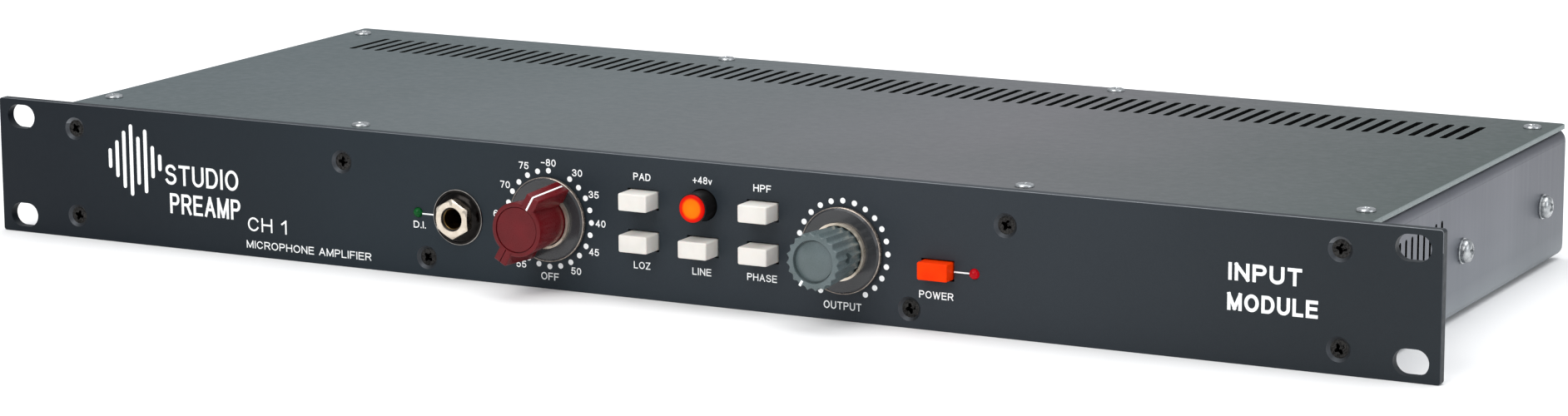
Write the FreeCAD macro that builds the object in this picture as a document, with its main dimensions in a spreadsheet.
import FreeCAD, Part
import math
import os
import re

import Sketcher

# Rack-mounted microphone preamplifier, one rack unit high.
# Frame: origin at the centre of the front panel's rear (rack mounting) face,
# +X to the right as seen from the front, +Y to the rear, +Z up. Millimetres.
# Cutting tools reach 1 mm or more past the faces that they cut.

doc = FreeCAD.newDocument("preamp")
sheet = doc.addObject("Spreadsheet::Sheet", "Sizes")

SIZES = {
    # front panel
    "panel_width": 482, "panel_height": 43, "panel_thick": 3, "panel_corner": 1.0, "panel_edge": 0.3,
    "rack_spacing_x": 465.1, "rack_spacing_z": 31.75, "rack_slot_length": 10.4, "rack_slot_radius": 3.8,
    # chassis: folded tray, subpanel and cover
    "chassis_width": 436.3, "chassis_depth": 175, "floor_z": -20.35, "shelf_z": 19.1, "cover_top": 20.5,
    "metal": 1.2, "thread_gap": 0.1, "seat_gap": 0.02, "fit_gap": 0.4, "top_bend": 4, "floor_bend": 2.4,
    "rear_bend": 4, "side_flange": 15, "end_flange": 14, "cover_gap": 0.3, "cover_corner": 1.5,
    "cover_edge": 0.3, "flange_gap": 1,
    # vents
    "vent_pitch": 5, "vent_count": 80, "vent_length": 24, "vent_radius": 1.2, "vent_mid_y": 146.3,
    "side_vent_count": 10, "side_vent_first_y": 16.9, "side_vent_mid_z": -1.5, "side_vent_radius": 0.9,
    # screws
    "screw_radius": 1.45, "thread_hole": 1.5, "screw_hole": 1.7, "recess_width": 0.9,
    "recess_depth": 1.1, "head_rim": 0.55, "head_crown": 0.72, "sink_radius": 3.6, "sink_head": 2.75,
    "sink_depth": 0.85, "panel_screw_length": 8, "outer_screw_x": 211.7, "outer_screw_top": 13.6,
    "outer_screw_low": -14.35, "upper_screw_x": 111.5, "upper_screw_z": 11.2, "lower_screw_x": 81.4,
    "lower_screw_z": -15.85, "cover_head_radius": 2.8, "cover_head_height": 1.0, "cover_screw_length": 5,
    "cover_corner_x": 211.3, "cover_front_y": 17.8, "cover_rear_y": 163.3, "cover_mid_front_x": 112,
    "cover_mid_front_y": 8.9, "cover_mid_rear_x": 70.8, "cover_mid_rear_y": 169.6,
    "side_screw_front_y": 79.9, "side_screw_rear_y": 153.5, "side_screw_z": -1.6,
    "side_screw_radius": 1.95, "side_head_radius": 3.5, "side_head_height": 2.6,
    "side_flange_radius": 3.8, "side_flange_thick": 0.6, "base_screw_y": 7, "base_screw_outer_x": 180,
    "base_screw_inner_x": 60,
    # control positions on the panel
    "gain_x": -38.1, "gain_z": 0, "output_x": 60.1, "output_z": -0.5, "jack_x": -70, "jack_z": -2.4,
    "input_led_x": -84.2, "input_led_z": -2.1, "pad_x": -5.8, "lamp_x": 14.1, "hpf_x": 34,
    "upper_z": 8.7, "lower_z": -3.75, "power_x": 90.4, "power_z": -3.5, "power_led_x": 101.95,
    "power_led_z": -3.65,
    # rotary controls
    "knob_front": 22.2, "knob_base": 5.4, "knob_front_radius": 8.2, "knob_base_radius": 7.4,
    "cap_radius": 6.75, "cap_recess": 0.3, "wing_length": 11.8, "wing_base_length": 12.6,
    "wing_width": 4.4, "wing_base_width": 4.9, "wing_base": 5.6, "gain_pointer": 30,
    "output_pointer": 210, "fluted_radius": 8.5, "fluted_base_radius": 7.6, "flute_count": 20,
    "flute_radius": 0.9, "flute_centre": 9.05, "fluted_cap_radius": 6.4, "groove_half": 0.15,
    "groove_depth": 0.3, "collar_radius": 8.5, "collar_inner": 7.8, "collar_front": 6.7,
    "skirt_radius": 12.8, "skirt_inner": 7.2, "skirt_rear": 3.6, "skirt_bevel": 0.6, "shaft_radius": 3,
    "shaft_hole": 3.05, "shaft_tip": 18.5, "hub_recess_radius": 6.2, "hub_recess": 8.2,
    "bush_radius": 4.7, "bush_front": 6.8, "bush_hole": 4.8, "nut_radius": 6.4, "nut_front": 5.1,
    "switch_radius": 13.5, "switch_plate": 3, "wafer_thick": 1.6, "wafer_pitch": 10, "switch_rear": 27,
    "rotor_radius": 8, "post_radius": 1.5, "post_ring": 11.5, "pot_radius": 11.5, "pot_rear": 14,
    "pot_wall": 1.2,
    # push buttons
    "button_width": 9.5, "button_height": 5.2, "button_base_width": 9.9, "button_base_height": 5.5,
    "button_front": 10, "button_rear": 5, "button_travel": 2.8, "button_edge": 0.45, "power_front": 7.2,
    "window_width": 10.5, "window_height": 6.1, "clear_width": 12, "clear_height": 8,
    "plunger_side": 2.4, "plunger_bore": 3.2, "housing_side": 8.5, "housing_front": 8.2,
    "board_front": 20, "plunger_reach": 7, "mains_switch_side": 14, "blind_end": 2, "lamp_radius": 4.5,
    "lamp_front": 10, "lamp_collar": 9.2, "lens_radius": 4.1, "lamp_hole": 4.85, "lens_wall": 0.8,
    "lens_lip": 1, "lens_dish": 0.35, "lens_root": 6, "lamp_clear": 0.8,
    # jack and indicator lamps
    "jack_bore": 3.2, "jack_thread": 4.6, "jack_nose": 6.3, "jack_body": 18, "jack_rear": 26,
    "jack_depth": 22, "jack_nut_radius": 6.3, "jack_nut_front": 7.1, "jack_nut_rear": 4.6,
    "jack_nut_mouth": 3.4, "jack_nut_face": 5.7, "jack_nut_skew": 3, "jack_washer_lip": 0.5,
    "jack_washer_radius": 8.6, "jack_washer_rim": 0.45, "led_radius": 1.5, "led_hole": 1.6,
    "led_front": 4.4,
    # boards
    "board_thick": 1.6, "board_z": -11.6, "spacer_radius": 2.6, "board_screw_length": 5,
    "board_head_radius": 2.6, "board_head_height": 1.4, "inlet_head_radius": 2, "main_left": -206,
    "main_right": 62, "main_front": 40, "main_rear": 146, "supply_left": 160, "supply_right": 200,
    "supply_front": 58, "supply_rear": 140, "control_left": -14, "control_right": 106,
    "control_half": 16,
    # transformers and supply
    "toroid_x": 116, "toroid_y": 104, "toroid_radius": 32, "toroid_hole": 10, "toroid_height": 26,
    "toroid_round": 8, "pad_thick": 1.5, "clamp_radius": 22, "clamp_thick": 1.5, "bolt_radius": 2.45,
    "bolt_hole": 2.5, "bolt_head_radius": 4.6, "bolt_head_height": 3.4, "can_side": 32, "can_height": 24,
    "can_x": -154, "can_y": 111, "can_round": 2, "core_width": 46, "core_depth": 20, "core_height": 25,
    "core_x": -30, "core_y": 104, "coil_width": 30, "coil_depth": 36, "coil_height": 20,
    "sink_front": 66, "sink_rear": 166, "sink_base": 3.2, "sink_reach": 10, "sink_half": 12,
    "fin_thick": 1.6, "fin_pitch": 7, "fin_count": 7, "regulator_near": 52, "regulator_far": 68,
    "tab_width": 10, "tab_height": 15, "tab_thick": 4.5,
    # rear connectors
    "mic_x": -184, "line_x": -148, "send_x": -112, "rear_z": -0.6, "rear_plate_width": 26,
    "rear_plate_height": 31, "rear_plate_thick": 2, "rear_plate_corner": 3, "shell_radius": 11.8,
    "shell_hole": 12, "shell_bore": 9.5, "shell_depth": 25, "socket_depth": 17, "insert_radius": 7.8,
    "contact_ring": 4.4, "contact_radius": 1.2, "contact_hole": 1.35, "tail_length": 5,
    "socket_recess": 4, "pin_recess": 2.5, "contact_side": 0.45, "screw_grip": 4, "rear_screw_x": 9.5,
    "rear_screw_z": 12, "latch_width": 6, "latch_slot_width": 6.8, "latch_low": 9.2, "latch_high": 11.2,
    "latch_gap": 0.3, "latch_front": 15, "latch_proud": 1.6, "inlet_x": 170, "inlet_width": 58,
    "inlet_height": 24, "inlet_plate": 2.5, "inlet_body_width": 50, "inlet_body_height": 21,
    "inlet_front": 152, "cavity_left": 148, "cavity_width": 24.5, "cavity_height": 16.8,
    "cavity_front": 159, "drawer_left": 180, "drawer_width": 12, "drawer_height": 19, "drawer_gap": 0.3,
    "drawer_front": 157, "drawer_lip": 1.0, "lip_inset_x": 2, "lip_inset_z": 1.5, "blade_pitch": 7,
    "blade_half": 1, "blade_reach": 2, "blade_rise": 1.5, "blade_drop": 2, "inlet_screw_x": 27.2,
    "inlet_screw_z": 8.6,
    # wiring held inside
    "wire_radius": 2.2, "mains_wire_x": 154.5, "mains_wire_y": 46, "wire_drop": 7, "wire_bend": 10,
    "signal_wire_y": 60,
}

for row, (alias, value) in enumerate(SIZES.items(), start=1):
    sheet.set(f"A{row}", alias)
    sheet.set(f"B{row}", str(value))
    sheet.setAlias(f"B{row}", alias)
doc.recompute()

FINISHED = []
X_AXIS = FreeCAD.Vector(1, 0, 0)
Y_AXIS = FreeCAD.Vector(0, 1, 0)
Z_AXIS = FreeCAD.Vector(0, 0, 1)
TURNS = {"x": FreeCAD.Rotation(Y_AXIS, 90), "y": FreeCAD.Rotation(X_AXIS, -90), "z": FreeCAD.Rotation()}


# ---------------------------------------------------------------- helpers
def named(formula):
    """Point every size's name in a formula at its cell in the sheet."""
    def cell(word):
        return "Sizes." + word.group() if word.group() in SIZES else word.group()

    return re.sub(r"[a-z_]{3,}", cell, str(formula))


def size(formula):
    """The value of a formula, for shapes that are made in code."""
    return float(sheet.evalExpression(named(formula)))


def bind(thing, **formulas):
    for prop, formula in formulas.items():
        thing.setExpression(prop.replace("__", "."), named(formula))


def move(thing, x, y, z):
    bind(thing, Placement__Base__x=x, Placement__Base__y=y, Placement__Base__z=z)


def box(name, x, y, z):
    """A block between two limits along each axis."""
    block = doc.addObject("Part::Box", name)
    spans = [f"({high}) - ({low})" for low, high in (x, y, z)]
    bind(block, Length=spans[0], Width=spans[1], Height=spans[2])
    move(block, x[0], y[0], z[0])
    return block


def cylinder(name, radius, axis, start, end, across):
    """A round bar along an axis from start to end; across gives its other two coordinates in order."""
    bar = doc.addObject("Part::Cylinder", name)
    bind(bar, Radius=radius, Height=f"({end}) - ({start})")
    bar.Placement.Rotation = TURNS[axis]
    places = list(across)
    places.insert("xyz".index(axis), start)
    move(bar, *places)
    return bar


def cone(name, first, second, axis, start, end, across):
    """A tapered round bar, with its radius at start and at end."""
    bar = doc.addObject("Part::Cone", name)
    bind(bar, Radius1=first, Radius2=second, Height=f"({end}) - ({start})")
    bar.Placement.Rotation = TURNS[axis]
    places = list(across)
    places.insert("xyz".index(axis), start)
    move(bar, *places)
    return bar


def hexagon(name, radius, axis, start, end, across, turn=0):
    """A six-sided bar, turned about its own axis by an angle in degrees."""
    bar = doc.addObject("Part::Prism", name)
    bar.Polygon = 6
    bind(bar, Circumradius=radius, Height=f"({end}) - ({start})")
    bar.Placement.Rotation = TURNS[axis].multiply(FreeCAD.Rotation(Z_AXIS, turn))
    places = list(across)
    places.insert("xyz".index(axis), start)
    move(bar, *places)
    return bar


def wedge(name, y, rear, front, centre):
    """A bar tapered along Y: rear and front are (width, height) at the high-Y and low-Y ends."""
    bar = doc.addObject("Part::Wedge", name)
    bind(bar, Ymin=y[0], Ymax=y[1], Xmin=f"-({front[0]})/2", Xmax=f"({front[0]})/2",
         Zmin=f"-({front[1]})/2", Zmax=f"({front[1]})/2", X2min=f"-({rear[0]})/2", X2max=f"({rear[0]})/2",
         Z2min=f"-({rear[1]})/2", Z2max=f"({rear[1]})/2")
    move(bar, centre[0], 0, centre[1])
    return bar


def fuse(name, *parts):
    joined = doc.addObject("Part::MultiFuse", name)
    joined.Shapes = list(parts)
    joined.Refine = True
    return joined


def cut(name, base, *tools):
    result = doc.addObject("Part::Cut", name)
    result.Base = base
    result.Tool = tools[0] if len(tools) == 1 else gather(name + "_tools", *tools)
    return result


def common(name, first, second):
    result = doc.addObject("Part::Common", name)
    result.Base = first
    result.Tool = second
    return result


def gather(name, *parts):
    """Several separate solids in one object."""
    group = doc.addObject("Part::Compound", name)
    group.Links = list(parts)
    return group


def rounded(name, base, radius, picks):
    """Round the edges of base that picks accepts, by a radius from the sheet."""
    doc.recompute()
    result = doc.addObject("Part::Fillet", name)
    result.Base = base
    amount = size(radius)
    result.Edges = [(number, amount, amount) for number, edge in enumerate(base.Shape.Edges, start=1)
                    if picks(edge)]
    return result


def along(direction):
    """Accept straight edges that run along a direction."""
    def check(edge):
        ends = edge.Vertexes
        if len(ends) != 2 or edge.Curve.TypeId != "Part::GeomLine":
            return False
        run = ends[1].Point - ends[0].Point
        return run.cross(direction).Length < 1e-6
    return check


def at_y(formula):
    """Accept edges that lie wholly at one depth."""
    depth = size(formula)
    return lambda edge: abs(edge.BoundBox.YMin - depth) < 1e-6 and abs(edge.BoundBox.YMax - depth) < 1e-6


def finish(thing, label):
    """Name a sub-part; its label is its file name."""
    thing.Label = label
    FINISHED.append(thing)
    return thing


def new_body(name):
    return doc.addObject("PartDesign::Body", name)


def sketch_on(body, role, name, offset):
    """A sketch on one of the body's own planes, moved along that plane's normal and in it."""
    plane = [item for item in body.Origin.OriginFeatures if item.Role == role][0]
    sketch = body.newObject("Sketcher::SketchObject", name)
    sketch.AttachmentSupport = [(plane, "")]
    sketch.MapMode = "FlatFace"
    for direction, formula in zip("xyz", offset):
        sketch.setExpression(".AttachmentOffset.Base." + direction, named(formula))
    return sketch


def draw_circle(sketch, radius):
    sketch.addGeometry(Part.Circle(FreeCAD.Vector(0, 0, 0), Z_AXIS, size(radius)), False)
    sketch.addConstraint(Sketcher.Constraint("Coincident", 0, 3, -1, 1))
    sketch.addConstraint(Sketcher.Constraint("Radius", 0, size(radius)))
    sketch.setExpression("Constraints[1]", named(radius))


def draw_rectangle(sketch, width, height):
    """A rectangle centred on the sketch's origin."""
    half_w = size(width) / 2
    half_h = size(height) / 2
    corners = [FreeCAD.Vector(x, y, 0) for x, y in
               ((-half_w, -half_h), (half_w, -half_h), (half_w, half_h), (-half_w, half_h))]
    for number in range(4):
        sketch.addGeometry(Part.LineSegment(corners[number], corners[(number + 1) % 4]), False)
    for number in range(4):
        sketch.addConstraint(Sketcher.Constraint("Coincident", number, 2, (number + 1) % 4, 1))
    for number in (0, 2):
        sketch.addConstraint(Sketcher.Constraint("Horizontal", number))
    for number in (1, 3):
        sketch.addConstraint(Sketcher.Constraint("Vertical", number))
    sketch.addConstraint(Sketcher.Constraint("Symmetric", 0, 1, 1, 2, -1, 1))
    wide = sketch.addConstraint(Sketcher.Constraint("DistanceX", 0, 1, 0, 2, 2 * half_w))
    tall = sketch.addConstraint(Sketcher.Constraint("DistanceY", 1, 1, 1, 2, 2 * half_h))
    sketch.setExpression(f"Constraints[{wide}]", named(width))
    sketch.setExpression(f"Constraints[{tall}]", named(height))


def draw_oblong(sketch, length, radius):
    """A slot along the sketch's vertical axis, centred on its origin."""
    reach = size(length) / 2 - size(radius)
    r = size(radius)
    top = Part.Circle(FreeCAD.Vector(0, reach, 0), Z_AXIS, r)
    low = Part.Circle(FreeCAD.Vector(0, -reach, 0), Z_AXIS, r)
    sketch.addGeometry(Part.ArcOfCircle(top, 0, math.pi), False)
    sketch.addGeometry(Part.ArcOfCircle(low, math.pi, 2 * math.pi), False)
    sketch.addGeometry(Part.LineSegment(FreeCAD.Vector(-r, reach, 0), FreeCAD.Vector(-r, -reach, 0)), False)
    sketch.addGeometry(Part.LineSegment(FreeCAD.Vector(r, -reach, 0), FreeCAD.Vector(r, reach, 0)), False)
    for constraint in (("Tangent", 0, 2, 2, 1), ("Tangent", 2, 2, 1, 1), ("Tangent", 1, 2, 3, 1),
                       ("Tangent", 3, 2, 0, 1), ("PointOnObject", 0, 3, -2), ("Symmetric", 0, 3, 1, 3, -1, 1)):
        sketch.addConstraint(Sketcher.Constraint(*constraint))
    reach_limit = sketch.addConstraint(Sketcher.Constraint("DistanceY", 1, 3, 0, 3, 2 * reach))
    round_limit = sketch.addConstraint(Sketcher.Constraint("Radius", 0, r))
    sketch.setExpression(f"Constraints[{reach_limit}]", named(f"({length}) - 2*({radius})"))
    sketch.setExpression(f"Constraints[{round_limit}]", named(radius))


def pad(body, sketch, length):
    feature = body.newObject("PartDesign::Pad", "Pad")
    feature.Profile = sketch
    feature.setExpression("Length", named(length))
    doc.recompute()
    return feature


def pocket(body, sketch):
    """Cut a sketch right through the body, and make sure that it took something away."""
    before = body.Shape.Volume
    feature = body.newObject("PartDesign::Pocket", "Pocket")
    feature.Profile = sketch
    feature.Type = "ThroughAll"
    feature.Reversed = True
    doc.recompute()
    assert body.Shape.Volume < before, sketch.Label
    return feature


def soften(body, base, radius, picks):
    """Round the edges of a body's feature that picks accepts."""
    names = [f"Edge{number}" for number, edge in enumerate(base.Shape.Edges, start=1) if picks(edge)]
    feature = body.newObject("PartDesign::Fillet", "Round")
    feature.Base = (base, names)
    feature.setExpression("Radius", named(radius))
    doc.recompute()
    return feature


def repeat(body, feature, sketch, axis, spacing, count):
    """Repeat a feature in a row along a sketch's axis."""
    row = body.newObject("PartDesign::LinearPattern", "Row")
    row.Originals = [feature]
    row.Direction = (sketch, [axis])
    row.setExpression("Length", named(f"({spacing}) * (({count}) - 1)"))
    row.setExpression("Occurrences", named(count))
    body.Tip = row
    doc.recompute()
    return row


def spin(body, feature, sketch, count):
    """Repeat a feature evenly round a sketch's normal."""
    ring = body.newObject("PartDesign::PolarPattern", "Ring")
    ring.Originals = [feature]
    ring.Axis = (sketch, ["N_Axis"])
    ring.Angle = 360
    ring.setExpression("Occurrences", named(count))
    body.Tip = ring
    doc.recompute()
    return ring


def both_sides(x, z):
    """A place and its mirror image across the middle of the panel."""
    return [(f"-({x})", z), (x, z)]


def cross_recess(name, axis, face, inward, across):
    """The cross cut into a screw head: two crossed bars sunk from the head's face."""
    span = "2*recess_width"
    half = "recess_width/2"
    if inward > 0:
        start, end = face, f"({face}) + recess_depth"
    else:
        start, end = f"({face}) - recess_depth", face
    bars = []
    for number, (wide, tall) in enumerate(((span, half), (half, span))):
        limits = [(f"({across[0]}) - {wide}", f"({across[0]}) + {wide}"),
                  (f"({across[1]}) - {tall}", f"({across[1]}) + {tall}")]
        limits.insert("xyz".index(axis), (start, end))
        bars.append(box(f"{name}_bar{number}", *limits))
    return gather(name, *bars)


# ---------------------------------------------------------------- places that several pieces share
PANEL_SCREWS = (both_sides("outer_screw_x", "outer_screw_top") + both_sides("outer_screw_x", "outer_screw_low")
                + both_sides("upper_screw_x", "upper_screw_z") + both_sides("lower_screw_x", "lower_screw_z"))
COVER_SCREWS = (both_sides("cover_corner_x", "cover_front_y") + both_sides("cover_corner_x", "cover_rear_y")
                + both_sides("cover_mid_front_x", "cover_mid_front_y")
                + both_sides("cover_mid_rear_x", "cover_mid_rear_y"))
BASE_SCREWS = (both_sides("base_screw_outer_x", "base_screw_y")
               + both_sides("base_screw_inner_x", "base_screw_y"))
SIDE_SCREWS = [("side_screw_front_y", "side_screw_z"), ("side_screw_rear_y", "side_screw_z")]
BUTTONS = {"pad_button": ("pad_x", "upper_z"), "loz_button": ("pad_x", "lower_z"),
           "line_button": ("lamp_x", "lower_z"), "hpf_button": ("hpf_x", "upper_z"),
           "phase_button": ("hpf_x", "lower_z")}
LAMP = ("lamp_x", "upper_z")
POWER = ("power_x", "power_z")
DIALS = {"gain": ("gain_x", "gain_z"), "output": ("output_x", "output_z")}
JACK = ("jack_x", "jack_z")
LEDS = {"input_led": ("input_led_x", "input_led_z"), "power_led": ("power_led_x", "power_led_z")}
FACE = "-panel_thick"
SIDE = "chassis_width/2"
INSIDE = "chassis_width/2 - metal"
FLOOR = "floor_z + metal"
SHELF = "shelf_z - metal"
REAR_FACE = "chassis_depth"


def window(name, place, y, width, height):
    x, z = place
    return box(name, (f"({x}) - ({width})/2", f"({x}) + ({width})/2"), y,
               (f"({z}) - ({height})/2", f"({z}) + ({height})/2"))


# ---------------------------------------------------------------- front panel
def make_front_panel():
    half = "panel_width/2"
    plate = box("PanelPlate", (f"-{half}", half), (FACE, 0), ("-panel_height/2", "panel_height/2"))
    plate = rounded("PanelCorners", plate, "panel_corner", along(Y_AXIS))
    plate = rounded("PanelEdge", plate, "panel_edge", at_y(FACE))
    tools = []
    through = (f"{FACE} - 1", "1")
    for index, (x, z) in enumerate(both_sides("rack_spacing_x/2", "rack_spacing_z/2")
                                   + both_sides("rack_spacing_x/2", "-rack_spacing_z/2")):
        reach = "rack_slot_length/2 - rack_slot_radius"
        tools.append(box(f"RackMid{index}", (f"{x} - ({reach})", f"{x} + {reach}"), through,
                         (f"{z} - rack_slot_radius", f"{z} + rack_slot_radius")))
        for end in ("-", "+"):
            tools.append(cylinder(f"RackEnd{index}", "rack_slot_radius", "y", *through,
                                  (f"{x} {end} ({reach})", z)))
    for place in PANEL_SCREWS:
        tools.append(cylinder("PanelScrewHole", "screw_hole", "y", *through, place))
        tools.append(cone("PanelSink", "sink_radius", "screw_hole", "y", FACE,
                          f"{FACE} + sink_radius - screw_hole", place))
    for place in BUTTONS.values():
        tools.append(window("ButtonWindow", place, through, "window_width", "window_height"))
    tools.append(window("PowerWindow", POWER, through, "window_width", "window_height"))
    tools.append(cylinder("LampHole", "lamp_hole", "y", *through, LAMP))
    tools.append(cylinder("JackHole", "jack_thread + thread_gap", "y", *through, JACK))
    for place in DIALS.values():
        tools.append(cylinder("BushHole", "bush_hole", "y", *through, place))
    for place in LEDS.values():
        tools.append(cylinder("LedHole", "led_hole", "y", *through, place))
    finish(cut("FrontPanel", plate, fuse("PanelTools", *tools)), "front_panel")


def make_panel_screws():
    screws = []
    head = f"{FACE} + sink_depth"
    sink = f"{head} + sink_head - screw_radius"
    for place in PANEL_SCREWS:
        top = cone("PanelScrewHead", "sink_head", "screw_radius", "y", head, sink, place)
        shank = cylinder("PanelScrewShank", "screw_radius", "y", sink, f"{head} + panel_screw_length", place)
        shape = fuse("PanelScrewShape", top, shank)
        screws.append(cut("PanelScrew", shape, cross_recess("PanelCross", "y", head, 1, place)))
    finish(gather("PanelScrews", *screws), "panel_screws")


# ---------------------------------------------------------------- chassis
def folded_block(name, x, y, z, top_bend, floor_bend, rear_bend):
    """A block whose folds along Y are rounded, and whose lower rear fold is rounded too."""
    across = box(name + "Across", x, y, z)
    middle = size(z[0]) / 2 + size(z[1]) / 2
    upper = rounded(name + "Upper", across, top_bend,
                    lambda edge: along(Y_AXIS)(edge) and edge.BoundBox.ZMin > middle)
    lower = rounded(name + "Lower", upper, floor_bend,
                    lambda edge: along(Y_AXIS)(edge) and edge.BoundBox.ZMax < middle
                    and abs(edge.BoundBox.ZMax - size(z[0])) < 1e-6)
    length = box(name + "Length", x, y, z)
    rear = size(y[1])
    bent = rounded(name + "Rear", length, rear_bend,
                   lambda edge: along(X_AXIS)(edge) and abs(edge.BoundBox.YMax - rear) < 1e-6
                   and edge.BoundBox.ZMax < middle)
    return common(name, lower, bent)


def make_tray():
    outer = folded_block("TrayOuter", (f"-{SIDE}", SIDE), ("0", REAR_FACE), ("floor_z", "shelf_z"),
                         "top_bend", "floor_bend", "rear_bend")
    inner = folded_block("TrayInner", (f"-({INSIDE})", INSIDE), ("-metal", f"{REAR_FACE} - metal"),
                         (FLOOR, SHELF), "top_bend - metal", "floor_bend - metal", "rear_bend - metal")
    mouth = box("TrayMouth", (f"-({SIDE} - side_flange)", f"{SIDE} - side_flange"),
                ("-1", f"{REAR_FACE} - end_flange"), (f"{SHELF} - metal", "shelf_z + 1"))
    tools = [inner, mouth]
    for side in ("-", "+"):
        for number in range(int(SIZES["side_vent_count"])):
            middle = f"side_vent_first_y + {number}*vent_pitch"
            half = "vent_length/2 - side_vent_radius"
            wall = (f"{side}({SIDE}) - 3", f"{side}({SIDE}) + 3")
            width = (f"{middle} - side_vent_radius", f"{middle} + side_vent_radius")
            tools.append(box("SideVentMid", wall, width,
                             (f"side_vent_mid_z - ({half})", f"side_vent_mid_z + {half}")))
            for end in ("-", "+"):
                tools.append(cylinder("SideVentEnd", "side_vent_radius", "x", *wall,
                                      (middle, f"side_vent_mid_z {end} ({half})")))
    for place in SIDE_SCREWS:
        tools.append(cylinder("SideScrewHole", "side_screw_radius + thread_gap", "x",
                              f"{SIDE} - 3", f"{SIDE} + 3", place))
    for x, y in COVER_SCREWS[:4] + COVER_SCREWS[6:]:
        tools.append(cylinder("ShelfHole", "thread_hole", "z", f"{SHELF} - 1", "shelf_z + 1", (x, y)))
    for x, y in BASE_SCREWS:
        tools.append(cylinder("FloorHole", "screw_hole", "z", "floor_z - 1", f"{FLOOR} + 1", (x, y)))
    tools.append(cylinder("ToroidBoltHole", "bolt_hole", "z", "floor_z - 1", f"{FLOOR} + 1",
                          ("toroid_x", "toroid_y")))
    back = (f"{REAR_FACE} - 3", f"{REAR_FACE} + 1")
    for x in ("mic_x", "line_x", "send_x"):
        tools.append(cylinder("ShellHole", "shell_hole", "y", *back, (x, "rear_z")))
        for place in rear_screw_places(x):
            tools.append(cylinder("RearScrewHole", "thread_hole", "y", *back, place))
    tools.append(window("InletHole", ("inlet_x", "rear_z"), back, "inlet_body_width + fit_gap",
                        "inlet_body_height + fit_gap"))
    for place in inlet_screw_places():
        tools.append(cylinder("InletScrewHole", "thread_hole", "y", *back, place))
    tray = cut("TrayFolded", outer, fuse("TrayTools", *tools[:2]))
    finish(cut("ChassisTray", tray, fuse("TrayHoles", *tools[2:])), "chassis_tray")


def rear_screw_places(x):
    return [(f"{x} - rear_screw_x", "rear_z + rear_screw_z"), (f"{x} + rear_screw_x", "rear_z - rear_screw_z")]


def inlet_screw_places():
    return [("inlet_x - inlet_screw_x", "rear_z + inlet_screw_z"),
            ("inlet_x + inlet_screw_x", "rear_z - inlet_screw_z")]


def make_subpanel():
    """The inner front: a channel behind the panel, with wings that reach the tray's sides."""
    shelf_end = f"{SIDE} - side_flange - flange_gap"
    block = box("SubBlock", (f"-({shelf_end})", shelf_end), ("0", "end_flange"), (FLOOR, "shelf_z"))
    block = rounded("SubBends", block, "floor_bend",
                    lambda edge: along(X_AXIS)(edge) and abs(edge.BoundBox.YMax) < 1e-6)
    hollow = box("SubHollow", (f"-({SIDE})", SIDE), ("metal", "end_flange + 1"), (f"{FLOOR} + metal", SHELF))
    wings = box("SubWings", (f"-({INSIDE})", INSIDE), ("0", "metal"),
                (f"{FLOOR} + floor_bend", f"{SHELF} - top_bend"))
    tools = []
    through = ("-1", "metal + 1")
    for place in PANEL_SCREWS:
        tools.append(cylinder("SubScrewHole", "thread_hole", "y", *through, place))
    for place in list(BUTTONS.values()) + [POWER]:
        tools.append(window("SubWindow", place, through, "clear_width", "clear_height"))
    tools.append(cylinder("SubLampHole", "lamp_hole + lamp_clear", "y", *through, LAMP))
    tools.append(cylinder("SubJackHole", "jack_thread + thread_gap", "y", *through, JACK))
    for place in DIALS.values():
        tools.append(cylinder("SubBushHole", "bush_hole", "y", *through, place))
    for place in LEDS.values():
        tools.append(cylinder("SubLedHole", "led_hole", "y", *through, place))
    for x, y in COVER_SCREWS[4:6]:
        tools.append(cylinder("SubShelfHole", "thread_hole", "z", f"{SHELF} - 1", "shelf_z + 1", (x, y)))
    for x, y in BASE_SCREWS:
        tools.append(cylinder("SubFloorHole", "thread_hole", "z", f"{FLOOR} - 1", f"{FLOOR} + metal + 1",
                              (x, y)))
    folded = fuse("SubFolded", cut("SubChannel", block, hollow), wings)
    finish(cut("FrontSubpanel", folded, fuse("SubTools", *tools)), "front_subpanel")


def make_cover():
    body = new_body("TopCover")
    outline = sketch_on(body, "XY_Plane", "CoverOutline", ("0", "(chassis_depth + cover_gap)/2", "shelf_z"))
    draw_rectangle(outline, "chassis_width", "chassis_depth - cover_gap")
    plate = pad(body, outline, "cover_top - shelf_z")
    corners = soften(body, plate, "cover_corner", along(Z_AXIS))
    top = size("cover_top")
    soften(body, corners, "cover_edge", lambda edge: edge.BoundBox.ZMin > top - 1e-6)
    slot = sketch_on(body, "XY_Plane", "VentSlot",
                     ("-vent_pitch*(vent_count - 1)/2", "vent_mid_y", "shelf_z"))
    draw_oblong(slot, "vent_length", "vent_radius")
    first = pocket(body, slot)
    repeat(body, first, slot, "H_Axis", "vent_pitch", "vent_count")
    holes = [cylinder("CoverHole", "screw_hole", "z", "shelf_z - 1", "cover_top + 1", place)
             for place in COVER_SCREWS]
    finish(cut("Cover", body, fuse("CoverHoles", *holes)), "top_cover")


def dome_screw(name, axis, face, outward, across, head_radius, head_height, length, shank):
    """A screw with a low domed head on a face; outward is +1 or -1 along the axis."""
    sign = "+" if outward > 0 else "-"
    rim = f"({face}) {sign} ({head_height})*head_rim"
    crown = f"({face}) {sign} ({head_height})"
    tip = f"({face}) {'-' if outward > 0 else '+'} ({length})"

    def span(first, second):
        return (first, second) if outward > 0 else (second, first)

    lower = cylinder(name + "Rim", head_radius, axis, *span(face, rim), across)
    radii = span(head_radius, f"({head_radius})*head_crown")
    upper = cone(name + "Crown", *radii, axis, *span(rim, crown), across)
    stem = cylinder(name + "Stem", shank, axis, *span(tip, face), across)
    shape = fuse(name + "Shape", lower, upper, stem)
    return cut(name, shape, cross_recess(name + "Cross", axis, crown, -outward, across))


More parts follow.
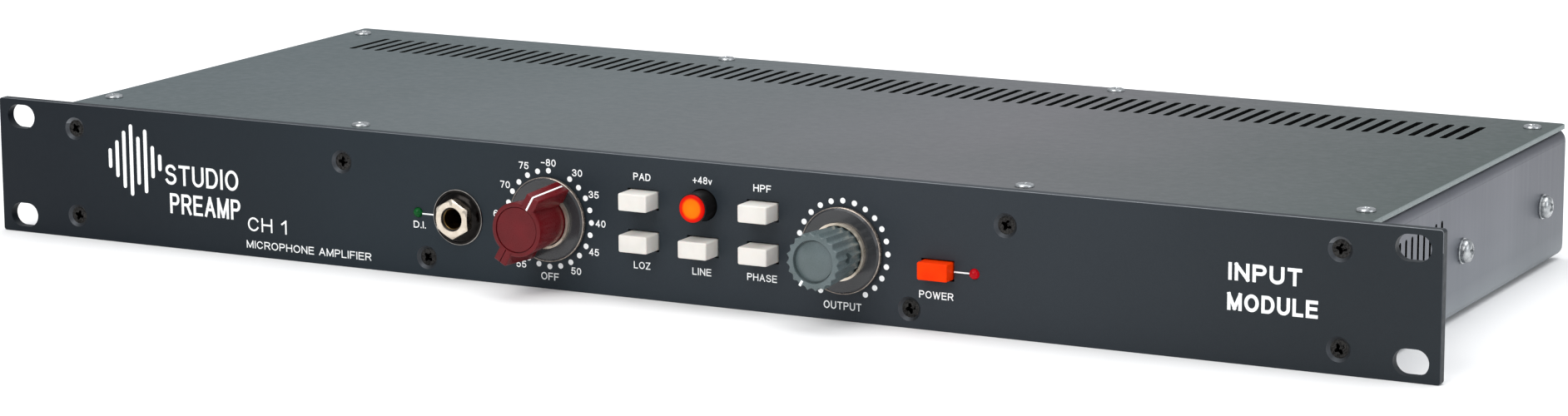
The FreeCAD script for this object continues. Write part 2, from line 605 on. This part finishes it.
def make_cover_screws():
    screws = [dome_screw("CoverScrew", "z", "cover_top", 1, place, "cover_head_radius", "cover_head_height",
                         "cover_screw_length", "screw_radius") for place in COVER_SCREWS]
    finish(gather("CoverScrews", *screws), "cover_screws")


def make_base_screws():
    screws = [dome_screw("BaseScrew", "z", "floor_z", -1, place, "cover_head_radius", "cover_head_height",
                         "cover_screw_length", "screw_radius") for place in BASE_SCREWS]
    finish(gather("BaseScrews", *screws), "base_screws")


def make_side_screws():
    screws = []
    for place in SIDE_SCREWS:
        flange = cylinder("SideFlange", "side_flange_radius", "x", SIDE, f"{SIDE} + side_flange_thick", place)
        screw = dome_screw("SideScrew", "x", f"{SIDE} + side_flange_thick", 1, place, "side_head_radius",
                           "side_head_height", "metal + sink_base + side_flange_thick", "side_screw_radius")
        screws.append(fuse("SideScrewFlanged", screw, flange))
    finish(gather("SideScrews", *screws), "side_screws")


# ---------------------------------------------------------------- rotary controls
def knob_bore(name, place):
    """What every knob is hollowed by: a recess round the bushing nut and the bore for the shaft."""
    recess = cylinder(name + "Recess", "hub_recess_radius + fit_gap", "y", "-hub_recess", "-knob_base + 1",
                      place)
    bore = cylinder(name + "Bore", "shaft_radius", "y", "-shaft_tip", "-knob_base", place)
    return fuse(name, recess, bore)


def turned(thing, angle, place):
    """Turn a piece about its knob's own axis, clockwise as seen from the front."""
    middle = FreeCAD.Vector(size(place[0]), 0, size(place[1]))
    turn = FreeCAD.Rotation(Y_AXIS, size(angle))
    thing.Placement = FreeCAD.Placement(middle - turn.multVec(middle), turn).multiply(thing.Placement)
    return thing


def gain_wings(name):
    """The two opposed wings of the gain knob, as one bar that widens towards the skirt."""
    return wedge(name, ("-knob_front", "-wing_base"), ("wing_base_width", "2*wing_base_length"),
                 ("wing_width", "2*wing_length"), DIALS["gain"])


def make_gain_knob():
    place = DIALS["gain"]
    barrel = cone("GainBarrel", "knob_front_radius", "knob_base_radius", "y", "-knob_front", "-knob_base",
                  place)
    body = fuse("GainBody", barrel, gain_wings("GainWings"))
    cap = cylinder("GainCapRecess", "cap_radius", "y", "-knob_front - 1", "-knob_front + cap_recess", place)
    groove = box("GainGroove", ("gain_x - groove_half", "gain_x + groove_half"),
                 ("-knob_front - 1", "-knob_front + groove_depth"),
                 ("gain_z - wing_length - 1", "gain_z - cap_radius + 1"))
    knob = cut("GainKnob", body, fuse("GainTools", cap, groove, knob_bore("GainBore", place)))
    finish(turned(knob, "gain_pointer", place), "gain_knob")


def make_output_knob():
    place = DIALS["output"]
    body = new_body("FlutedKnob")
    disc = sketch_on(body, "XZ_Plane", "KnobDisc", ("0", "0", "knob_base"))
    draw_circle(disc, "fluted_radius")
    pad(body, disc, "knob_front - knob_base")
    flute = sketch_on(body, "XZ_Plane", "Flute", ("0", "flute_centre", "knob_base"))
    draw_circle(flute, "flute_radius")
    first = pocket(body, flute)
    centre = sketch_on(body, "XZ_Plane", "KnobCentre", ("0", "0", "knob_base"))
    spin(body, first, centre, "flute_count")
    move(body, place[0], "0", place[1])
    taper = cone("FlutedTaper", "fluted_radius + seat_gap", "fluted_base_radius", "y", "-knob_front",
                 "-knob_base", place)
    cap = cylinder("OutputCapRecess", "fluted_cap_radius", "y", "-knob_front - 1", "-knob_front + cap_recess",
                   place)
    knob = cut("OutputKnob", common("FlutedBarrel", body, taper),
               fuse("OutputTools", cap, knob_bore("OutputBore", place)))
    finish(turned(knob, "output_pointer", place), "output_knob")


def make_dial_ring(dial, place):
    """The clear skirt behind a knob and the nickel collar in front of it."""
    skirt = cylinder("SkirtDisc", "skirt_radius", "y", "-knob_base + skirt_bevel", "-skirt_rear", place)
    bevel = cone("SkirtBevel", "skirt_radius - skirt_bevel", "skirt_radius", "y", "-knob_base",
                 "-knob_base + skirt_bevel", place)
    hole = cylinder("SkirtHole", "skirt_inner", "y", "-knob_base - 1", "-skirt_rear + 1", place)
    finish(cut("Skirt", fuse("SkirtShape", skirt, bevel), hole), f"{dial}_skirt")
    ring = cylinder("CollarRing", "collar_radius", "y", "-collar_front", "-knob_base", place)
    tools = [cylinder("CollarHole", "collar_inner", "y", "-collar_front - 1", "-knob_base + 1", place)]
    if dial == "gain":
        tools.append(turned(gain_wings("CollarNotches"), "gain_pointer", place))
    finish(cut("Collar", ring, *tools), f"{dial}_collar")


def make_gain_shaft():
    place = DIALS["gain"]
    rod = cylinder("GainRod", "shaft_radius", "y", "-shaft_tip", "switch_rear + 1", place)
    first = "metal + switch_plate + wafer_pitch/2 + wafer_thick"
    rotors = [cylinder("GainRotor", "rotor_radius", "y", f"{first} + {n}*wafer_pitch",
                       f"{first} + {n}*wafer_pitch + wafer_thick", place) for n in range(2)]
    finish(fuse("GainShaft", rod, *rotors), "gain_shaft")


def make_output_shaft():
    place = DIALS["output"]
    rod = cylinder("OutputRod", "shaft_radius", "y", "-shaft_tip", "pot_rear - 2*pot_wall", place)
    wiper = cylinder("OutputWiper", "rotor_radius", "y", "pot_rear/2", "pot_rear/2 + pot_wall", place)
    finish(fuse("OutputShaft", rod, wiper), "output_shaft")


def make_gain_switch():
    """Bushing, front plate and three wafers on two posts, with room for the turning rotors."""
    place = DIALS["gain"]
    x, z = place
    plate = cylinder("GainPlate", "switch_radius", "y", "metal", "metal + switch_plate", place)
    bush = cylinder("GainBush", "bush_radius", "y", "-bush_front", "metal + 1", place)
    parts = [plate, bush]
    for n in range(3):
        start = f"metal + switch_plate + {n}*wafer_pitch"
        parts.append(cylinder("GainWafer", "switch_radius - fit_gap", "y", f"{start} + 1",
                              f"{start} + 1 + wafer_thick", place))
    for side in ("-", "+"):
        parts.append(cylinder("GainPost", "post_radius", "y", "metal", "switch_rear",
                              (f"{x} {side} post_ring", z)))
    bore = cylinder("GainSwitchBore", "shaft_hole", "y", "-bush_front - 1", "switch_rear + 5", place)
    finish(cut("GainSwitch", fuse("GainSwitchShape", *parts), bore), "gain_switch")


def make_output_pot():
    place = DIALS["output"]
    shell = fuse("PotShape", cylinder("PotCan", "pot_radius", "y", "metal", "pot_rear", place),
                 cylinder("PotBush", "bush_radius", "y", "-bush_front", "metal + 1", place))
    hollow = cylinder("PotHollow", "pot_radius - pot_wall", "y", "metal + pot_wall", "pot_rear - pot_wall",
                      place)
    bore = cylinder("PotBore", "shaft_hole", "y", "-bush_front - 1", "metal + 2*pot_wall", place)
    finish(cut("OutputPot", shell, fuse("PotTools", hollow, bore)), "output_pot")


def make_bushing_nuts():
    nuts = []
    for place in DIALS.values():
        nut = hexagon("BushNut", "nut_radius", "y", "-nut_front", FACE, place)
        hole = cylinder("BushNutHole", "bush_radius + seat_gap", "y", "-nut_front - 1", "0", place)
        nuts.append(cut("Nut", nut, hole))
    finish(gather("BushingNuts", *nuts), "bushing_nuts")


# ---------------------------------------------------------------- push buttons
def button_shape(name, place, front, rear):
    """A tapered cap with rounded front edges, and the plunger behind it as a second solid."""
    block = wedge(name + "Block", (f"-{front}", rear), ("button_base_width", "button_base_height"),
                  ("button_width", "button_height"), place)
    cap = rounded(name + "Cap", block, "button_edge", lambda edge: not at_y(rear)(edge))
    plunger = window(name + "Plunger", place, (rear, f"{rear} + plunger_reach"), "plunger_side", "plunger_side")
    return gather(name, cap, plunger)


def make_buttons():
    for label, place in BUTTONS.items():
        finish(button_shape(label.title().replace("_", ""), place, "button_front", "button_rear"), label)
    finish(button_shape("PowerButton", POWER, "power_front", "button_rear + button_travel"), "power_button")


def make_lamp_button():
    """The lit button: a black sleeve that carries a lens with a raised rim."""
    sleeve = cylinder("LampTube", "lamp_radius", "y", "-lamp_collar", "button_rear", LAMP)
    hollow = cylinder("LampHollow", "lens_radius - lens_wall", "y", "-lamp_collar - 1",
                      "button_rear - blind_end", LAMP)
    stem = window("LampPlunger", LAMP, ("button_rear - 1", "button_rear + plunger_reach"),
                  "plunger_side", "plunger_side")
    finish(cut("LampSleeve", fuse("LampSleeveShape", sleeve, stem), hollow), "lamp_sleeve")
    rim = cylinder("LensRim", "lens_radius", "y", "-lamp_front", "-lamp_collar", LAMP)
    rim = rounded("LensRound", rim, "button_edge", at_y("-lamp_front"))
    root = cylinder("LensRoot", "lens_radius - lens_wall", "y", "-lamp_collar - lens_dish",
                    "-lamp_collar + lens_root", LAMP)
    dish = cylinder("LensDish", "lens_radius - lens_lip", "y", "-lamp_front - 1", "-lamp_front + lens_dish",
                    LAMP)
    finish(cut("LampLens", fuse("LensShape", rim, root), dish), "lamp_lens")


def make_switch_housings():
    housings = []
    for place in list(BUTTONS.values()) + [LAMP]:
        body = window("Housing", place, ("housing_front", "board_front"), "housing_side", "housing_side")
        bore = window("HousingBore", place, ("housing_front - 1", "board_front - blind_end"), "plunger_bore",
                      "plunger_bore")
        housings.append(cut("PushSwitch", body, bore))
    finish(gather("PushSwitches", *housings), "push_switches")
    body = window("MainsHousing", POWER, ("housing_front", "board_front"), "mains_switch_side",
                  "mains_switch_side")
    bore = window("MainsBore", POWER, ("housing_front - 1", "board_front - blind_end"), "plunger_bore",
                  "plunger_bore")
    finish(cut("MainsSwitch", body, bore), "mains_switch")


# ---------------------------------------------------------------- jack and indicator lamps
def make_jack():
    x, z = JACK
    half = "jack_body/2"
    case = box("JackCase", (f"{x} - {half}", f"{x} + {half}"), ("metal", "jack_rear"),
               (f"{z} - {half}", f"{z} + {half}"))
    case = rounded("JackCaseRound", case, "jack_washer_rim", along(Y_AXIS))
    thread = cylinder("JackThread", "jack_thread", "y", "-jack_nose", "metal + 1", JACK)
    bore = cylinder("JackBore", "jack_bore", "y", "-jack_nose - 1", "jack_depth", JACK)
    finish(cut("JackBody", fuse("JackShape", case, thread), bore), "jack_body")
    rim = cylinder("WasherRim", "jack_washer_radius", "y", f"{FACE} - jack_washer_rim", FACE, JACK)
    dish = cone("WasherDish", "jack_nut_radius", "jack_washer_radius - jack_washer_lip", "y", "-jack_nut_rear",
                f"{FACE} - jack_washer_rim", JACK)
    hole = cylinder("WasherHole", "jack_thread + thread_gap", "y", "-jack_nut_rear - 1", "0", JACK)
    finish(cut("JackWasher", fuse("WasherShape", rim, dish), hole), "jack_washer")
    nut = hexagon("JackHex", "jack_nut_radius", "y", "-jack_nut_front", "-jack_nut_rear", JACK, turn=30)
    ball = cone("JackHexRound", "jack_nut_face", "jack_nut_face + jack_nut_skew", "y", "-jack_nut_front",
                "-jack_nut_rear", JACK)
    mouth = cylinder("JackMouth", "jack_nut_mouth", "y", "-jack_nut_front - 1", "0", JACK)
    seat = cylinder("JackSeat", "jack_thread + seat_gap", "y", "-jack_nose", "0", JACK)
    nut = cut("JackNut", common("JackNutShape", nut, ball), fuse("JackNutTools", mouth, seat))
    finish(nut, "jack_nut")


def make_leds():
    for label, place in LEDS.items():
        lamp = cylinder("LedTube", "led_radius", "y", "-led_front", "metal + 4", place)
        name = label.title().replace("_", "")
        finish(rounded(name, lamp, "led_radius - seat_gap", at_y("-led_front")), label)


# ---------------------------------------------------------------- boards, spacers and parts on them
MAIN_POSTS = [(x, y) for x in ("main_left + 8", "(main_left + main_right)/2", "main_right - 8")
              for y in ("main_front + 6", "main_rear - 6")]
SUPPLY_POSTS = [(x, y) for x in ("supply_left + 5", "supply_right - 5")
                for y in ("supply_front + 5", "supply_rear - 5")]
CONTROL_POSTS = [("control_left + 3.5", "-control_half + 3"), ("control_right - 3.5", "control_half - 3"),
                 ("control_right - 3.5", "-control_half + 3"), ("(hpf_x + output_x)/2 - 2", "control_half - 3")]
BOARD_TOP = "board_z + board_thick"
BOARD_BACK = "board_front + board_thick"

# Rows of upright capacitors: the first one's place, the step to the next along X and Y, and their number,
# radius and height.
CAPACITOR_ROWS = [("supply_left + 13", "supply_front + 14", 0, 18, 3, 8, 22),
                  ("supply_left + 31", "supply_front + 14", 0, 18, 3, 6, 18),
                  ("main_left + 70", "main_front + 38", 17, 0, 4, 6, 16),
                  ("main_right - 20", "main_front + 20", 0, 16, 5, 5, 14),
                  ("main_left + 26", "main_front + 10", 13, 0, 6, 3.5, 10)]


def make_boards():
    boards = {"main_board": ("main", MAIN_POSTS), "power_board": ("supply", SUPPLY_POSTS)}
    for label, (area, posts) in boards.items():
        plate = box(area.title() + "Plate", (f"{area}_left", f"{area}_right"),
                    (f"{area}_front", f"{area}_rear"), ("board_z", BOARD_TOP))
        holes = [cylinder("BoardHole", "screw_hole", "z", "board_z - 1", f"{BOARD_TOP} + 1", place)
                 for place in posts]
        finish(cut(area.title() + "Board", plate, fuse(area.title() + "Holes", *holes)), label)
    plate = box("ControlPlate", ("control_left", "control_right"), ("board_front", BOARD_BACK),
                ("-control_half", "control_half"))
    holes = [cylinder("ControlHole", "screw_hole", "y", "board_front - 1", f"{BOARD_BACK} + 1", place)
             for place in CONTROL_POSTS]
    finish(cut("ControlBoard", plate, fuse("ControlHoles", *holes)), "control_board")


def make_spacers():
    spacers = []
    for place in MAIN_POSTS + SUPPLY_POSTS:
        post = cylinder("FloorPost", "spacer_radius", "z", FLOOR, "board_z", place)
        spacers.append(cut("FloorSpacer", post, cylinder("FloorPostBore", "thread_hole", "z", FLOOR,
                                                         "board_z + 1", place)))
    for place in CONTROL_POSTS:
        post = cylinder("FacePost", "spacer_radius", "y", "metal", "board_front", place)
        spacers.append(cut("FaceSpacer", post, cylinder("FacePostBore", "thread_hole", "y", "metal",
                                                        "board_front + 1", place)))
    finish(gather("BoardSpacers", *spacers), "board_spacers")


def make_board_screws():
    length = "board_thick + board_screw_length"
    screws = [dome_screw("BoardScrew", "z", BOARD_TOP, 1, place, "board_head_radius", "board_head_height",
                         length, "screw_radius") for place in MAIN_POSTS + SUPPLY_POSTS]
    screws += [dome_screw("ControlScrew", "y", BOARD_BACK, 1, place, "board_head_radius", "board_head_height",
                          length, "screw_radius") for place in CONTROL_POSTS]
    finish(gather("BoardScrews", *screws), "board_screws")


def make_capacitors():
    cans = []
    crown = size(BOARD_TOP) + 1
    for x, y, step_x, step_y, count, radius, height in CAPACITOR_ROWS:
        for n in range(count):
            can = cylinder("Can", radius, "z", BOARD_TOP, f"{BOARD_TOP} + {height}",
                           (f"{x} + {n * step_x}", f"{y} + {n * step_y}"))
            cans.append(rounded("CanRound", can, "button_edge", lambda edge: edge.BoundBox.ZMin > crown))
    finish(gather("Capacitors", *cans), "capacitors")


def make_signal_transformers():
    half = "can_side/2"
    can = box("InputCan", (f"can_x - {half}", f"can_x + {half}"), (f"can_y - {half}", f"can_y + {half}"),
              (BOARD_TOP, f"{BOARD_TOP} + can_height"))
    finish(rounded("InputTransformer", can, "can_round", lambda edge: edge.BoundBox.ZMax > 0),
           "input_transformer")
    core = box("OutputCore", ("core_x - core_width/2", "core_x + core_width/2"),
               ("core_y - core_depth/2", "core_y + core_depth/2"), (BOARD_TOP, f"{BOARD_TOP} + core_height"))
    coil = box("OutputCoil", ("core_x - coil_width/2", "core_x + coil_width/2"),
               ("core_y - coil_depth/2", "core_y + coil_depth/2"),
               (f"{BOARD_TOP} + 1", f"{BOARD_TOP} + 1 + coil_height"))
    coil = rounded("OutputCoilRound", coil, "can_round + 2", along(Z_AXIS))
    finish(fuse("OutputTransformer", core, coil), "output_transformer")


def make_mains_transformer():
    place = ("toroid_x", "toroid_y")
    base = f"{FLOOR} + pad_thick"
    top = f"{base} + toroid_height"
    ring = cylinder("ToroidDisc", "toroid_radius", "z", base, top, place)
    hole = cylinder("ToroidHole", "toroid_hole", "z", f"{base} - 1", f"{top} + 1", place)
    outer = size("toroid_radius")
    finish(rounded("MainsTransformer", cut("ToroidRing", ring, hole), "toroid_round - 1",
                   lambda edge: edge.Curve.TypeId == "Part::GeomCircle" and edge.Curve.Radius > outer - 1),
           "mains_transformer")
    pads = []
    for low, high in ((FLOOR, base), (top, f"{top} + pad_thick")):
        disc = cylinder("PadDisc", "toroid_radius - toroid_round", "z", low, high, place)
        pads.append(cut("Pad", disc, cylinder("PadHole", "bolt_hole", "z", f"{low} - 1", f"{high} + 1", place)))
    finish(gather("TransformerPads", *pads), "transformer_pads")
    low = f"{top} + pad_thick"
    disc = cylinder("ClampDisc", "clamp_radius", "z", low, f"{low} + clamp_thick", place)
    hole = cylinder("ClampHole", "bolt_hole", "z", f"{low} - 1", f"{low} + clamp_thick + 1", place)
    finish(cut("TransformerClamp", disc, hole), "transformer_clamp")
    seat = f"{low} + clamp_thick"
    bolt = fuse("TransformerBolt", cylinder("BoltShank", "bolt_radius", "z", "floor_z", seat, place),
                hexagon("BoltHead", "bolt_head_radius", "z", seat, f"{seat} + bolt_head_height", place))
    finish(bolt, "transformer_bolt")


def make_heatsink():
    """A plate against the tray's right side, with a row of upright fins at its front end."""
    inner = f"{INSIDE} - sink_base"
    plate = box("SinkPlate", (inner, INSIDE), ("sink_front", "sink_rear"), ("-sink_half", "sink_half"))
    fins = [box("Fin", (f"{inner} - sink_reach", f"{inner} + 0.5"),
                (f"sink_front + {n}*fin_pitch", f"sink_front + {n}*fin_pitch + fin_thick"),
                ("-sink_half", "sink_half")) for n in range(int(SIZES["fin_count"]))]
    holes = [cylinder("SinkHole", "side_screw_radius + seat_gap", "x", f"{inner} - 1", f"{INSIDE} + 1", place)
             for place in SIDE_SCREWS]
    finish(cut("Heatsink", fuse("SinkShape", plate, *fins), fuse("SinkHoles", *holes)), "heatsink")
    packages = [box("Regulator", (f"{inner} - tab_thick", inner), (start, f"{start} + tab_width"),
                    ("-tab_height/2", "tab_height/2"))
                for start in ("sink_front + regulator_near", "sink_front + regulator_far")]
    finish(gather("Regulators", *packages), "regulators")


# ---------------------------------------------------------------- rear connectors
CONTACTS = [(-1, "contact_side"), (1, "contact_side"), (0, -1)]
MATE_FACE = f"{REAR_FACE} + rear_plate_thick"


def rear_shell(name, x):
    half_w = "rear_plate_width/2"
    half_h = "rear_plate_height/2"
    plate = box(name + "Plate", (f"{x} - {half_w}", f"{x} + {half_w}"), (REAR_FACE, MATE_FACE),
                (f"rear_z - {half_h}", f"rear_z + {half_h}"))
    plate = rounded(name + "Corners", plate, "rear_plate_corner", along(Y_AXIS))
    barrel = cylinder(name + "Barrel", "shell_radius", "y", f"{MATE_FACE} - shell_depth", MATE_FACE,
                      (x, "rear_z"))
    return fuse(name + "Shell", plate, barrel)


def contact_places(x):
    return [(f"{x} + ({a})*contact_ring", f"rear_z + ({b})*contact_ring") for a, b in CONTACTS]


def plate_holes(name, x):
    return [cylinder(name + "Hole", "screw_hole", "y", f"{REAR_FACE} - 1", f"{MATE_FACE} + 1", place)
            for place in rear_screw_places(x)]


def make_input_connector(label, x):
    """A socket shell whose ring-shaped gap takes the plug's shell, with a slot for its latch."""
    name = label.title().replace("_", "")
    centre = (x, "rear_z")
    bore = cylinder(name + "Bore", "shell_bore", "y", f"{MATE_FACE} - socket_depth", f"{MATE_FACE} + 1", centre)
    insert = cylinder(name + "Insert", "insert_radius", "y", f"{MATE_FACE} - socket_depth - 1",
                      f"{MATE_FACE} + 2", centre)
    slot = box(name + "Slot", (f"{x} - latch_slot_width/2", f"{x} + latch_slot_width/2"),
               (f"{MATE_FACE} - latch_front - 1", f"{MATE_FACE} + 1"),
               ("rear_z + insert_radius + latch_gap", "rear_z + latch_high + latch_gap"))
    tools = [cut(name + "Gap", bore, insert), slot] + plate_holes(name, x)
    tools += [cylinder(name + "ContactHole", "contact_hole", "y", f"{MATE_FACE} - socket_depth + 1",
                       f"{MATE_FACE} + 1", place) for place in contact_places(x)]
    tools += [cylinder(name + "TailHole", "contact_radius", "y", f"{MATE_FACE} - shell_depth - 1",
                       f"{MATE_FACE} - socket_depth + 1", place) for place in contact_places(x)]
    finish(cut(name, rear_shell(name, x), fuse(name + "Tools", *tools)), label)


def make_output_connector():
    x = "send_x"
    bore = cylinder("OutputShellBore", "shell_bore", "y", f"{MATE_FACE} - socket_depth", f"{MATE_FACE} + 1",
                    (x, "rear_z"))
    tails = [cylinder("OutputTailHole", "contact_radius", "y", f"{MATE_FACE} - shell_depth - 1",
                      f"{MATE_FACE} - socket_depth + 1", place) for place in contact_places(x)]
    tools = fuse("OutputShellTools", bore, *tails, *plate_holes("OutputShell", x))
    finish(cut("OutputConnector", rear_shell("OutputShell", x), tools), "output_connector")


def make_latches():
    for label, x in (("mic_latch", "mic_x"), ("line_latch", "line_x")):
        lever = box(label.title().replace("_", ""), (f"{x} - latch_width/2", f"{x} + latch_width/2"),
                    (f"{MATE_FACE} - latch_front", f"{MATE_FACE} + latch_proud"),
                    ("rear_z + latch_low", "rear_z + latch_high"))
        end = at_y(f"{MATE_FACE} + latch_proud")
        finish(rounded(label.title() + "Round", lever, "button_edge", end), label)


def make_mains_inlet():
    centre = ("inlet_x", "rear_z")
    flange = window("InletFlange", centre, (REAR_FACE, f"{REAR_FACE} + inlet_plate"), "inlet_width",
                    "inlet_height")
    flange = rounded("InletFlangeRound", flange, "rear_plate_corner", along(Y_AXIS))
    body = window("InletBody", centre, ("inlet_front", f"{REAR_FACE} + 1"), "inlet_body_width",
                  "inlet_body_height")
    mouth = f"{REAR_FACE} + inlet_plate + 1"
    cavity = box("InletCavity", ("cavity_left", "cavity_left + cavity_width"), ("cavity_front", mouth),
                 ("rear_z - cavity_height/2", "rear_z + cavity_height/2"))
    corner = "can_round + 2"
    cavity = rounded("InletCavityShape", cavity, corner,
                     lambda edge: along(Y_AXIS)(edge) and edge.BoundBox.ZMin > 0)
    drawer = box("DrawerHole", ("drawer_left", "drawer_left + drawer_width"), ("drawer_front", mouth),
                 ("rear_z - drawer_height/2", "rear_z + drawer_height/2"))
    holes = [cylinder("InletHoleTool", "screw_hole", "y", f"{REAR_FACE} - 1", mouth, place)
             for place in inlet_screw_places()]
    blades = [blade("BladeHole", number, "inlet_front - 1", "cavity_front + 1") for number in range(3)]
    tools = fuse("InletTools", cavity, drawer, *holes, *blades)
    finish(cut("MainsInlet", fuse("InletShape", flange, body), tools), "mains_inlet")
    lid_end = f"{REAR_FACE} + inlet_plate"
    tray = box("DrawerTray", ("drawer_left + drawer_gap", "drawer_left + drawer_width - drawer_gap"),
               ("drawer_front + 1", lid_end),
               ("rear_z - drawer_height/2 + drawer_gap", "rear_z + drawer_height/2 - drawer_gap"))
    lip = box("DrawerLip", ("drawer_left + lip_inset_x", "drawer_left + drawer_width - lip_inset_x"),
              (lid_end, f"{lid_end} + drawer_lip"),
              ("rear_z - drawer_height/2 + lip_inset_z", "rear_z + drawer_height/2 - lip_inset_z"))
    finish(fuse("FuseDrawer", tray, lip), "fuse_drawer")


def blade(name, number, start, end):
    """One of the mains inlet's three flat blades; the middle one sits higher."""
    x = f"cavity_left + cavity_width/2 + {number - 1}*blade_pitch"
    z = "rear_z + blade_rise" if number == 1 else "rear_z - blade_drop"
    return box(name, (f"{x} - blade_half", f"{x} + blade_half"), (start, end),
               (f"{z} - blade_reach", f"{z} + blade_reach"))


def make_contacts():
    contacts = []
    for x in ("mic_x", "line_x", "send_x"):
        recess = "pin_recess" if x == "send_x" else "socket_recess"
        for place in contact_places(x):
            contacts.append(cylinder("Contact", "contact_radius", "y",
                                     f"{MATE_FACE} - shell_depth - tail_length",
                                     f"{MATE_FACE} - {recess}", place))
    contacts += [blade("Blade", number, "inlet_front - tail_length", f"{REAR_FACE} - 1")
                 for number in range(3)]
    finish(gather("RearContacts", *contacts), "rear_contacts")


def make_rear_screws():
    screws = []
    for x in ("mic_x", "line_x", "send_x"):
        screws += [dome_screw("ShellScrew", "y", MATE_FACE, 1, place, "board_head_radius", "board_head_height",
                              "rear_plate_thick + screw_grip", "screw_radius")
                   for place in rear_screw_places(x)]
    screws += [dome_screw("InletScrew", "y", f"{REAR_FACE} + inlet_plate", 1, place, "inlet_head_radius",
                          "board_head_height", "inlet_plate + screw_grip", "screw_radius")
               for place in inlet_screw_places()]
    finish(gather("RearScrews", *screws), "rear_screws")


# ---------------------------------------------------------------- wiring held inside
def wire(label, points):
    """A round bundle along straight runs joined by tangent arcs; its volume is checked against its length."""
    bend = size("wire_bend")
    radius = size("wire_radius")
    edges = []
    start = points[0]
    for corner, after in zip(points[1:-1], points[2:]):
        inward = (corner - start).normalize()
        outward = (after - corner).normalize()
        reach = bend * math.tan(inward.getAngle(outward) / 2)
        first = corner - inward * reach
        last = corner + outward * reach
        bisector = (outward - inward).normalize()
        centre = corner + bisector * math.hypot(bend, reach)
        middle = centre - bisector * bend
        edges.append(Part.LineSegment(start, first).toShape())
        edges.append(Part.Arc(first, middle, last).toShape())
        start = last
    edges.append(Part.LineSegment(start, points[-1]).toShape())
    path = Part.Wire(edges)
    ring = Part.Wire(Part.Circle(points[0], (points[1] - points[0]).normalize(), radius).toShape())
    tube = path.makePipeShell([ring], True, False)
    expected = math.pi * radius ** 2 * path.Length
    assert abs(tube.Volume - expected) < 0.01 * expected, label
    feature = doc.addObject("Part::Feature", label.title().replace("_", ""))
    feature.Shape = tube
    finish(feature, label)


def make_wires():
    def point(x, y, z):
        return FreeCAD.Vector(size(x), size(y), size(z))

    drop = "rear_z - wire_drop"
    wire("mains_wires", [point("mains_wire_x", "inlet_front", drop),
                         point("mains_wire_x", "mains_wire_y", drop),
                         point("power_x", "mains_wire_y", drop), point("power_x", BOARD_BACK, drop)])
    level = "jack_z"
    wire("signal_wires", [point("mic_x", f"{MATE_FACE} - shell_depth - tail_length", level),
                          point("mic_x", "signal_wire_y", level), point("jack_x", "signal_wire_y", level),
                          point("jack_x", "jack_rear", level)])


# ---------------------------------------------------------------- build everything
def build():
    make_front_panel()
    make_panel_screws()
    make_tray()
    make_subpanel()
    make_cover()
    make_cover_screws()
    make_base_screws()
    make_side_screws()
    make_gain_knob()
    make_output_knob()
    for dial, place in DIALS.items():
        make_dial_ring(dial, place)
    make_gain_shaft()
    make_output_shaft()
    make_gain_switch()
    make_output_pot()
    make_bushing_nuts()
    make_buttons()
    make_lamp_button()
    make_switch_housings()
    make_jack()
    make_leds()
    make_boards()
    make_spacers()
    make_board_screws()
    make_capacitors()
    make_signal_transformers()
    make_mains_transformer()
    make_heatsink()
    make_input_connector("mic_connector", "mic_x")
    make_input_connector("line_connector", "line_x")
    make_output_connector()
    make_latches()
    make_mains_inlet()
    make_contacts()
    make_rear_screws()
    make_wires()


def check():
    """Stop if any object failed or any sub-part's shape is empty or invalid."""
    doc.recompute()
    for thing in doc.Objects:
        assert not {"Invalid", "Error"} & set(thing.State), f"{thing.Label}: {thing.State}"
    for thing in FINISHED:
        assert not thing.Shape.isNull() and thing.Shape.isValid(), thing.Label
        assert thing.Shape.Solids, thing.Label


def write():
    os.makedirs("parts", exist_ok=True)
    for thing in FINISHED:
        thing.Shape.exportStep(f"parts/{thing.Label}.step")
    print(len(FINISHED), "sub-parts written")


build()
check()
write()
